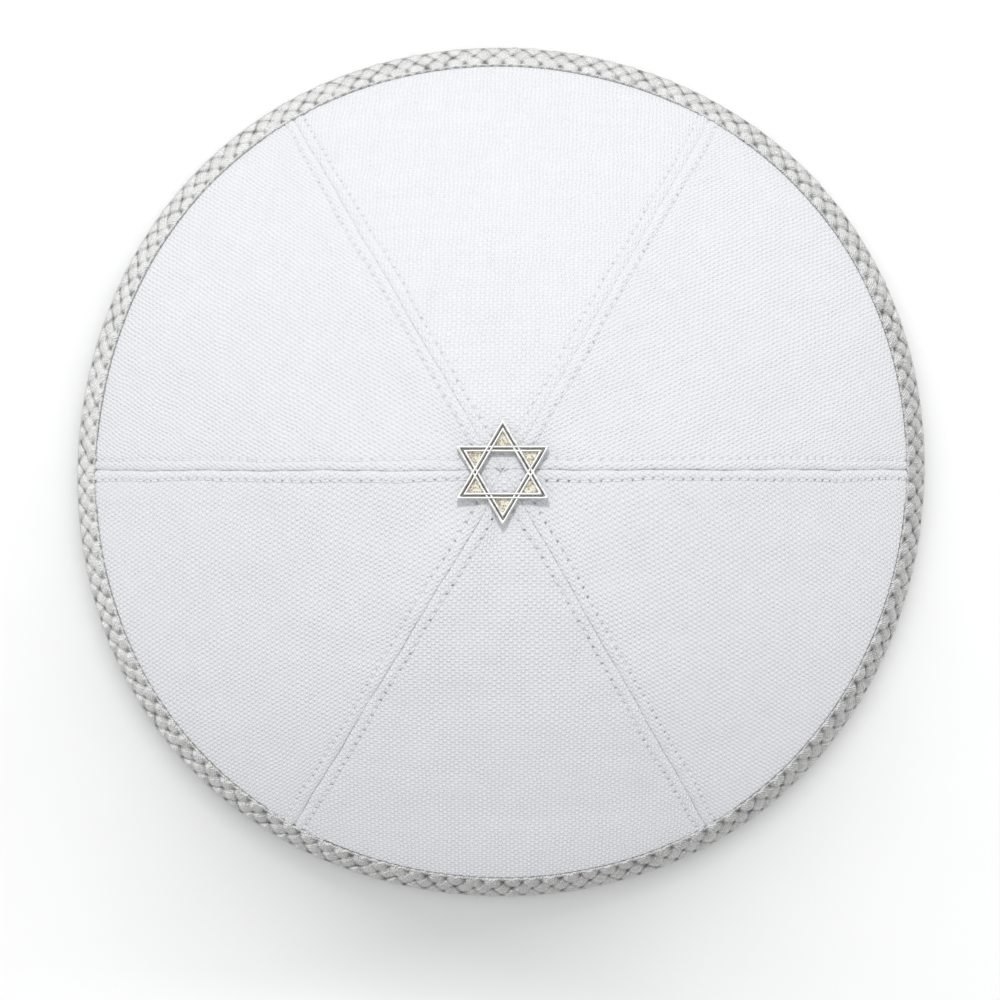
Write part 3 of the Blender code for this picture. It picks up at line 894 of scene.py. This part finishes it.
def make_braid(finish, settings):
    """The rim's braid: its section carried round the cap, raised by the plait.

    It is thin and scalloped at both selvages, and its relief is pressed flat where it turns under the rim.
    """
    base, face, width, selvage = braid_section()
    around = settings.cells_round * CELL_STEPS
    angle = np.linspace(0, 2 * np.pi, around, endpoint=False)[:, None]
    along = np.arange(around)[:, None] / CELL_STEPS
    across = (width - width[0])[None] / (2 * settings.row_width)
    height, over, strands = plait(along, across + 0.25)
    scallop = 0.5 + 0.5 * np.cos(4 * np.pi * along + 0.9 * np.sin(2 * np.pi * along / 7))
    near = np.maximum(selvage - SCALLOP_DEPTH * scallop, 0)
    body = smooth_step(near, *PLAIT_EDGE)
    edge = SELVAGE_THICKNESS * np.sqrt(1 - (1 - np.minimum(near / SELVAGE_ROUND, 1)) ** 2)
    thicken = BODY_THICKNESS * smooth_step(near, PLAIT_EDGE[0], BODY_RISE)
    pressed = PRESSED + (1 - PRESSED) * smooth_step(np.abs(face[:, 1]), 0.15, 0.65)
    relief = settings.relief * body * pressed * (0.6 + thicken / FULL_THICKNESS)
    lift = np.maximum(edge + thicken + relief * (height - FLAT_HEIGHT), 0)
    sway = SWAY * soft_waves(85 * MM * np.cos(angle), 85 * MM * np.sin(angle), 0.06, SWAY_SEED)
    downhill = np.stack((face[:, 1], -face[:, 0]), -1)
    slide = np.exp(-width / SWAY_REACH)[None] * sway
    out = base[:, 0] + face[:, 0] * lift + downhill[:, 0] * slide
    up = np.maximum(base[:, 1] + face[:, 1] * lift + downhill[:, 1] * slide, 0)
    shell = waved(out, up, angle)
    bore_steps = np.linspace(len(base) - 1, 0, BORE_STEPS).astype(int)
    bore = waved(*(base[bore_steps] + face[bore_steps] * BORE_CLEARANCE).T[:, None], angle)
    count = len(base) + len(bore_steps)
    # hollow: painted shade in the plait's low gaps and a dashed line of it along each selvage; the face that
    # lies on the cloth is fully shaded
    hollow = (1 - smooth_step(height, *PLAIT_SHADE_RANGE)) * body
    hollow = np.maximum(hollow, (0.15 + 0.5 * scallop) * (1 - smooth_step(near, 0.0, 0.00012)))
    around_pad = (around, len(bore_steps))
    made = make_piece(
        "rim_braid",
        np.concatenate((shell, bore), 1),
        [grid_quads(around, count, True, True)[:, ::-1]],
        finish,
        maps={"plait": np.concatenate((strands, np.zeros((*around_pad, 2))), 1)},
        masks={
            "over": np.concatenate((over, np.zeros(around_pad)), 1),
            "hollow": np.concatenate((hollow, np.ones(around_pad)), 1),
        },
    )
    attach(made, "root")
    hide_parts("rim_binding")
    return made


# Star

def side_angles(steps):
    """Angles round a triangle from corner to corner, closer together near the corners."""
    share = np.sin(np.pi / 2 * np.linspace(-1, 1, steps, endpoint=False))
    one_side = np.arctan(np.sqrt(3) * share)
    return (one_side + 2 * np.pi / 3 * np.arange(3)[:, None]).ravel()


def triangle_reach(angle, turn, softness):
    """Distance out to a triangle whose sides lie 1 from the centre, its corners slightly rounded.

    A power mean of the cosines to the three sides' directions: the higher the power, the sharper the corner.
    """
    sides = turn + np.pi + 2 * np.pi / 3 * np.arange(3)
    cosines = np.maximum(np.cos(angle[..., None] - sides), 0)
    return (cosines**softness).sum(-1) ** (-1 / softness)


def bar_profile(settings):
    """Section of a star's bar: two round ridges with a groove between them, on straight flanks.

    Distance in from the outer edge, height above the seat, and how much painted shade the point gets: most
    deep in the groove, half on the flanks and foot.
    """
    bar, ridge = settings.bar, settings.ridge
    turn = np.linspace(np.pi, 0, 9)
    round_in, round_up = ridge / 2 * np.cos(turn), ridge / 2 * np.sin(turn)
    first = np.stack((ridge / 2 + round_in, STAR_THICKNESS - ridge / 2 + round_up), -1)
    second = first + (bar - ridge, 0)
    middle = np.linspace(0, 1, 5)[1:-1]
    floor = STAR_THICKNESS - ridge / 2 - settings.groove_depth * np.sin(np.pi * middle) ** 0.5
    valley = np.stack((ridge + (bar - 2 * ridge) * middle, floor), -1)
    flank, bevel = STAR_THICKNESS * FLANK_SHARE, FOOT_BEVEL
    foot = [(bar, flank), (bar, bevel), (bar - bevel, 0), (bevel, 0), (0, bevel), (0, flank)]
    points = np.concatenate((first, valley, second, foot))
    groove = np.concatenate(
        (np.linspace(0, 0.2, 9) ** 2, (0.9, 1, 0.9), np.linspace(0.2, 0, 9) ** 2, np.full(len(foot), 0.5))
    )
    return points, groove


def triangle_ring(turn, sink, settings):
    """One triangle of the star: the bar's section carried round a triangle with softened corners."""
    profile, groove = bar_profile(settings)
    angle = (side_angles(40) + turn + np.pi)[:, None]
    apothem = settings.radius / 2 - profile[:, 0]
    reach = triangle_reach(angle, turn, CORNER_POWER)
    out = apothem * reach
    waves = soft_waves(out * np.cos(angle) * 9, out * np.sin(angle) * 9, 0.03, CAST_SEED)
    cast = 1 + CAST_UNEVENNESS * waves
    up = np.broadcast_to(profile[:, 1] - sink * (profile[:, 1] > 0), out.shape)
    points = np.stack((out * np.cos(angle) * cast, out * np.sin(angle) * cast, up + STAR_SEAT), -1)
    return points, np.broadcast_to(groove, out.shape)


def hexagon_reach(angle):
    """Distance out to a hexagon whose sides lie 1 from the centre, corners at 0, 60, 120 ... degrees."""
    return 1 / np.cos(np.mod(angle, np.pi / 3) - np.pi / 6)


def cell_plate(settings):
    """The plate that closes the six points: from the opening out to under the bars, with pitted hollows."""
    angle = np.linspace(0, 2 * np.pi, 288, endpoint=False)[:, None]
    outline = np.maximum(
        triangle_reach(angle, np.pi / 2, CORNER_POWER), triangle_reach(angle, -np.pi / 2, CORNER_POWER)
    )
    apothem = settings.radius / 2 - settings.bar * PLATE_INSET
    outside = outline * apothem
    inside = hexagon_reach(angle) * apothem
    share = np.linspace(0, 1, 30)
    out = inside + (np.maximum(outside, inside) - inside) * share
    x, y = out * np.cos(angle), out * np.sin(angle)
    bumps = soft_waves(x, y, 0.0022, CELL_SEED, 9) * CELL_BUMPS
    high = settings.cell_floor + bumps
    top = np.stack((x, y, STAR_SEAT + high), -1)
    base_share = share[::-3]
    low_out = inside + (np.maximum(outside, inside) - inside) * base_share
    back = np.full(low_out.shape, STAR_SEAT + PLATE_LIFT)
    low = np.stack((low_out * np.cos(angle), low_out * np.sin(angle), back), -1)
    return np.concatenate((top, low), 1)


def prong_strip(side, settings):
    """A flat strip down through the cloth and bent in to the centre: a section carried along a path."""
    inside_depth = ALLOWANCE_WALL / np.cos(dome_slope(PRONG_REACH)) + PRONG_DROP
    bend = dome_height(PRONG_REACH) - inside_depth
    top = STAR_SEAT + settings.cell_floor - PLATE_LIFT
    turn = np.linspace(0, np.pi / 2, 7)[1:]
    corner = PRONG_BEND
    down = np.array([(PRONG_REACH, top), (PRONG_REACH, bend + corner + 0.0006), (PRONG_REACH, bend + corner)])
    curve = np.stack((PRONG_REACH - corner * (1 - np.cos(turn)), bend + corner * (1 - np.sin(turn))), -1)
    tail = np.linspace(PRONG_REACH - corner - 0.0006, PRONG_REACH - PRONG_TAIL, 4)
    inward = np.stack((tail, np.full(len(tail), bend)), -1)
    path = np.concatenate((down, curve, inward))
    along = np.gradient(path, axis=0)
    along /= np.linalg.norm(along, axis=1, keepdims=True)
    across = np.stack((-along[:, 1], along[:, 0]), -1)
    half, wall, soft = 0.0008, 0.00025, 0.00008
    section = np.array(
        [
            (half - soft, wall), (half, wall - soft), (half, soft - wall), (half - soft, -wall),
            (soft - half, -wall), (-half, soft - wall), (-half, wall - soft), (soft - half, wall),
        ]
    )
    narrow = np.concatenate((np.ones(len(path) - 2), (0.9, 0.55)))[:, None]
    wide = section[None, :, 0] * narrow
    thick = section[None, :, 1]
    out = path[:, None, 0] + across[:, None, 0] * thick
    up = path[:, None, 1] + across[:, None, 1] * thick
    points = np.stack((wide * -side, out * side, np.broadcast_to(up, out.shape)), -1)
    sides = len(section)
    caps = np.stack((np.arange(sides)[::-1], np.arange(sides) + (len(path) - 1) * sides))
    return points, grid_quads(len(path), sides, close_columns=True), caps


def make_star(finish, settings):
    """The star, cast in one: two crossed triangles of ridged bars, six sunk cells and two prongs."""
    points, quads, caps, groove, cell = [], [], [], [], []
    start = 0
    for turn, sink in ((np.pi / 2, 0.0), (-np.pi / 2, settings.crossing_step)):
        ring, groove_shade = triangle_ring(turn, sink, settings)
        points.append(ring.reshape(-1, 3))
        quads.append(grid_quads(*ring.shape[:2], True, True) + start)
        groove.append(groove_shade.ravel())
        cell.append(np.zeros(groove_shade.size))
        start += groove_shade.size
    plate = cell_plate(settings)
    points.append(plate.reshape(-1, 3))
    quads.append(grid_quads(*plate.shape[:2], True, True)[:, ::-1] + start)
    start += plate.shape[0] * plate.shape[1]
    groove.append(np.zeros(start - sum(map(len, groove))))
    cell.append(np.ones(len(groove[-1])))
    for side in (1, -1):
        strip, faces, ends = prong_strip(side, settings)
        points.append(strip.reshape(-1, 3))
        quads.append(faces + start)
        caps.append(ends + start)
        # a little painted shade on the prongs
        groove.append(np.full(len(points[-1]), 0.3))
        cell.append(np.zeros(len(points[-1])))
        start += len(points[-1])
    made = make_piece(
        "star",
        np.concatenate(points) * STAR_STRETCH,
        [np.concatenate(quads), np.concatenate(caps)],
        finish,
        masks={"groove": np.concatenate(groove), "cell": np.concatenate(cell)},
        sharp=np.radians(38),
    )
    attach(made, "root")
    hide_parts("star_charm")
    return made


# Stage

def make_floor(settings):
    """A square pale floor under the cap: a plain level grid."""
    steps = np.linspace(-settings.floor_size / 2, settings.floor_size / 2, FLOOR_STEPS)
    x, y = np.meshgrid(steps, steps, indexing="ij")
    points = np.stack((x, y, np.full(x.shape, FLOOR_HEIGHT)), -1)
    floor = make_piece("floor", points, [grid_quads(*x.shape)], floor_material(settings))
    return floor


def hang_lamp(lamp, azimuth, elevation, distance, floor, lights_floor):
    """Hangs a lamp that shines on the cap from this azimuth, counted from +X, elevation and distance.

    It lights the floor alone, or everything but the floor. Neither the camera nor a reflection shows it:
    what the metal mirrors is the surround.
    """
    holder = bpy.data.objects.new(lamp.name, lamp)
    holder.visible_camera = holder.visible_glossy = False
    receivers = bpy.data.collections.new(f"{lamp.name}_receivers")
    receivers.objects.link(floor)
    receivers.collection_objects[0].light_linking.link_state = "INCLUDE" if lights_floor else "EXCLUDE"
    holder.light_linking.receiver_collection = receivers
    towards = Vector(
        (np.cos(azimuth) * np.cos(elevation), np.sin(azimuth) * np.cos(elevation), np.sin(elevation))
    )
    holder.rotation_euler = towards.to_track_quat("Z", "Y").to_euler()
    holder.location = towards * distance
    bpy.context.scene.collection.objects.link(holder)


def make_lamps(floor, settings):
    """A soft sun that shapes the cap, and a long low strip that gives the floor the cap's wide shadow."""
    key = bpy.data.lights.new("key", "SUN")
    key.energy = settings.key_strength
    key.angle = KEY_SOFTNESS
    hang_lamp(key, KEY_AZIMUTH, KEY_ELEVATION, KEY_DISTANCE, floor, lights_floor=False)
    strip = bpy.data.lights.new("low_strip", "AREA")
    strip.shape = "RECTANGLE"
    strip.energy = settings.strip_power
    strip.size, strip.size_y = settings.strip_size
    hang_lamp(
        strip, settings.strip_azimuth, settings.strip_elevation, STRIP_DISTANCE, floor, lights_floor=True
    )


def make_world(settings):
    """Even soft light from all round, and a studio for the metal to mirror.

    The studio is bright low on one side and dim on the other, has a darker belt half-way up and a bright lamp
    screen overhead that leans to the bright side.
    """
    world = bpy.data.worlds.new("studio")
    world.use_nodes = True
    bpy.context.scene.world = world
    w = Wiring(world.node_tree)
    ray = w.add("ShaderNodeTexCoord").outputs["Generated"]
    heading = Vector((np.cos(settings.band_azimuth), np.sin(settings.band_azimuth), 0))
    facing = w.add("ShaderNodeVectorMath", operation="DOT_PRODUCT")
    w.feed(facing.inputs[0], ray)
    facing.inputs[1].default_value = heading
    height = w.add("ShaderNodeSeparateXYZ", {"Vector": ray}).outputs["Z"]
    side = w.fit(facing.outputs["Value"], *BAND_EDGES, settings.band_dark, settings.band_bright)
    belt_distance = w.maths("ABSOLUTE", w.maths("SUBTRACT", height, BELT_HEIGHT))
    belt = w.fit(belt_distance, *BELT_EDGES, BELT_SHADE, 1.0)
    above = w.add("ShaderNodeVectorMath", operation="DOT_PRODUCT")
    w.feed(above.inputs[0], ray)
    above.inputs[1].default_value = (heading * SCREEN_LEAN + Vector((0, 0, 1))).normalized()
    screen = w.fit(above.outputs["Value"], *SCREEN_EDGES)
    walls = w.maths("MULTIPLY", w.maths("MULTIPLY", side, belt), w.maths("SUBTRACT", 1.0, screen))
    mirrored = w.maths("MULTIPLY_ADD", screen, settings.overhead_strength, walls)
    glossy = w.add("ShaderNodeLightPath").outputs["Is Glossy Ray"]
    even = w.maths("MULTIPLY", w.maths("SUBTRACT", 1.0, glossy), settings.world_strength)
    background = world.node_tree.nodes["Background"]
    background.inputs["Color"].default_value = (*settings.world_colour, 1)
    w.feed(background.inputs["Strength"], w.maths("MULTIPLY_ADD", glossy, mirrored, even))
    bpy.context.scene.view_settings.view_transform = "Standard"


def make_camera(settings):
    """A camera straight above the crown, its image framed as the photo's."""
    lens = bpy.data.cameras.new("camera")
    lens.sensor_width = 36
    lens.lens = settings.lens
    lens.shift_x, lens.shift_y = settings.camera_shift
    lens.dof.use_dof = False
    camera = bpy.data.objects.new("camera", lens)
    camera.location = (0, 0, settings.camera_height)
    bpy.context.scene.collection.objects.link(camera)
    bpy.context.scene.camera = camera


# Settings that a user would change

def scalar(label, description, default, **options):
    """A number that a user may change, with its label, what it says and its first value."""
    return FloatProperty(name=label, description=description, default=default, **options)


def length(label, description, default):
    """A length in metres, shown with its unit."""
    return scalar(label, description, default, unit="LENGTH", precision=5)


def direction(label, description, degrees):
    """An angle whose first value is given in degrees."""
    return scalar(label, description, np.radians(degrees), subtype="ANGLE")


def colour(label, description, default):
    """A colour as shares of red, green and blue."""
    return FloatVectorProperty(
        name=label, description=description, default=default, size=3, min=0, max=1, subtype="COLOR"
    )


class LinenSettings(PropertyGroup):
    """The cloth and its sewing."""

    colour: colour("Linen", "Colour of the cloth", (0.85, 0.855, 0.888))
    thread_colour: colour("Thread", "Colour of the sewing thread", (0.82, 0.825, 0.855))
    thread_across: length("Thread width", "Spacing of the threads that run down a gore", 0.00079)
    thread_down: length("Thread height", "Spacing at the crown of the threads across a gore", 0.000575)
    thread_crowding: scalar("Crowding", "How much closer the cross threads lie at the rim", -0.05)
    weave_depth: length("Weave depth", "Height of a thread above the gaps beside it", 0.00026)
    stitch_pitch: length("Stitch length", "From one needle hole to the next", 0.00205)
    stitch_row: length("Row distance", "From a seam to its row of stitches", 0.00195)
    stitch_thickness: length("Stitch thickness", "Thickness of the sewing thread", 0.00031)


class BraidSettings(PropertyGroup):
    """The plaited braid round the rim."""

    colour: colour("Braid", "Colour of the metallic strands", (0.66, 0.66, 0.65))
    cells_round: IntProperty(name="Cells", description="Plait cells round the rim", default=134, min=24)
    row_width: length("Row width", "From one row of the plait to the next", 0.00186)
    relief: length("Relief", "Height of a strand above the gaps", 0.00074)
    filaments: scalar("Filaments", "Fine lines across one strand", 7.0)


class StarSettings(PropertyGroup):
    """The cast star on the crown."""

    colour: colour("Metal", "Colour of the polished ridges", (0.84, 0.835, 0.815))
    # the grooves' dark colour is painted shade
    groove_shade_colour: colour("Groove", "Colour of the metal in the grooves", (0.30, 0.295, 0.28))
    cell_colour: colour("Cell", "Colour of the sunk cells", (0.88, 0.83, 0.70))
    # the pits' darker colour is painted shade
    pit_shade_colour: colour("Pit", "Colour at the bottom of the pits", (0.58, 0.51, 0.39))
    radius: length("Reach", "From the centre to a point before its corner is rounded", 0.00986)
    bar: length("Bar", "Width of a triangle's bar", 0.00118)
    ridge: length("Ridge", "Width of each of the two ridges on a bar", 0.00046)
    groove_depth: length("Groove depth", "Depth of the groove below the ridges' sides", 0.00024)
    cell_floor: length("Cell floor", "Height of the sunk cells above the star's back", 0.00062)
    crossing_step: length("Crossing step", "How far the second triangle lies below the first", 0.00006)


class StageSettings(PropertyGroup):
    """Floor, lights and camera."""

    floor_colour: colour("Floor", "Colour of the floor", (0.90, 0.90, 0.90))
    floor_size: length("Floor size", "Length of the floor's sides", 4.0)
    key_strength: scalar("Key", "Strength of the lamp that shapes the cap", 1.52)
    strip_power: scalar("Strip", "Watts of the strip that lights the floor", 150)
    strip_size: FloatVectorProperty(
        name="Strip size",
        description="Length and height of the strip",
        default=(7.0, 0.25),
        size=2,
        unit="LENGTH",
    )
    strip_azimuth: direction("Strip direction", "Where the strip is", 85)
    strip_elevation: direction("Strip height", "How high the strip is", 27)
    world_strength: scalar("Surround", "Strength of the light all round", 0.72)
    overhead_strength: scalar("Overhead", "Brightness of the screen that the metal mirrors", 1.5)
    world_colour: colour("Surround colour", "Colour of the light all round", (0.99, 0.995, 1.0))
    band_azimuth: direction("Band direction", "Where the bright band is", 118)
    band_bright: scalar("Band bright", "Mirrored brightness on that side", 1.85)
    band_dark: scalar("Band dark", "Mirrored brightness opposite", 0.50)
    lens: scalar("Lens", "Focal length in millimetres", 108.4)
    camera_height: length("Camera height", "Above the floor", 0.60)
    camera_shift: FloatVectorProperty(
        name="Shift",
        description="Shift of the image, as a share of its width",
        default=(-0.0029, -0.0277),
        size=2,
    )


# Operators

class SKULLCAP_OT_braid(Operator):
    """Makes the plaited braid round the rim."""

    bl_idname = "skullcap.braid"
    bl_label = "Rim Braid"

    def execute(self, context):
        settings = context.scene.skullcap_braid
        make_braid(braid_material(settings), settings)
        return {"FINISHED"}


class SKULLCAP_OT_gores(Operator):
    """Makes the six linen gores."""

    bl_idname = "skullcap.gores"
    bl_label = "Linen Gores"

    def execute(self, context):
        settings = context.scene.skullcap_linen
        finish = linen_material(settings)
        for number in range(1, GORE_COUNT + 1):
            make_gore(number, finish, settings)
        return {"FINISHED"}


class SKULLCAP_OT_sewing(Operator):
    """Makes the stitches outside and inside, and the thread ends at the crown."""

    bl_idname = "skullcap.sewing"
    bl_label = "Sewing"

    def execute(self, context):
        settings = context.scene.skullcap_linen
        finish = thread_material(settings)
        make_stitches("topstitches", finish, settings, inside=False)
        make_stitches("inner_stitches", finish, settings, inside=True)
        make_crown_threads(finish)
        return {"FINISHED"}


class SKULLCAP_OT_star(Operator):
    """Makes the cast star with its prongs."""

    bl_idname = "skullcap.star"
    bl_label = "Star"

    def execute(self, context):
        settings = context.scene.skullcap_star
        make_star(star_material(settings), settings)
        return {"FINISHED"}


class SKULLCAP_OT_stage(Operator):
    """Makes the floor, the lights and the camera."""

    bl_idname = "skullcap.stage"
    bl_label = "Stage"

    def execute(self, context):
        settings = context.scene.skullcap_stage
        floor = make_floor(settings)
        make_lamps(floor, settings)
        make_world(settings)
        make_camera(settings)
        return {"FINISHED"}


class SKULLCAP_PT_panel(Panel):
    """Lists the cap's sizes and colours with the buttons that make its pieces."""

    bl_idname = "SKULLCAP_PT_panel"
    bl_label = "Linen Skullcap"
    bl_space_type = "VIEW_3D"
    bl_region_type = "UI"
    bl_category = "Skullcap"

    def draw(self, context):
        for name, kind, operators in SECTIONS:
            box = self.layout.box()
            settings = getattr(context.scene, name)
            for label in kind.__annotations__:
                box.prop(settings, label)
            for operator in operators:
                box.operator(operator.bl_idname)


SECTIONS = (
    ("skullcap_braid", BraidSettings, (SKULLCAP_OT_braid,)),
    ("skullcap_linen", LinenSettings, (SKULLCAP_OT_gores, SKULLCAP_OT_sewing)),
    ("skullcap_star", StarSettings, (SKULLCAP_OT_star,)),
    ("skullcap_stage", StageSettings, (SKULLCAP_OT_stage,)),
)


def register():
    for name, kind, operators in SECTIONS:
        bpy.utils.register_class(kind)
        setattr(bpy.types.Scene, name, PointerProperty(type=kind))
        for operator in operators:
            bpy.utils.register_class(operator)
    bpy.utils.register_class(SKULLCAP_PT_panel)


def unregister():
    bpy.utils.unregister_class(SKULLCAP_PT_panel)
    for name, kind, operators in reversed(SECTIONS):
        for operator in reversed(operators):
            bpy.utils.unregister_class(operator)
        delattr(bpy.types.Scene, name)
        bpy.utils.unregister_class(kind)


def main():
    register()
    bpy.ops.skullcap.braid()
    bpy.ops.skullcap.gores()
    bpy.ops.skullcap.sewing()
    bpy.ops.skullcap.star()
    bpy.ops.skullcap.stage()
    bpy.context.view_layer.update()


if __name__ == "__main__":
    main()
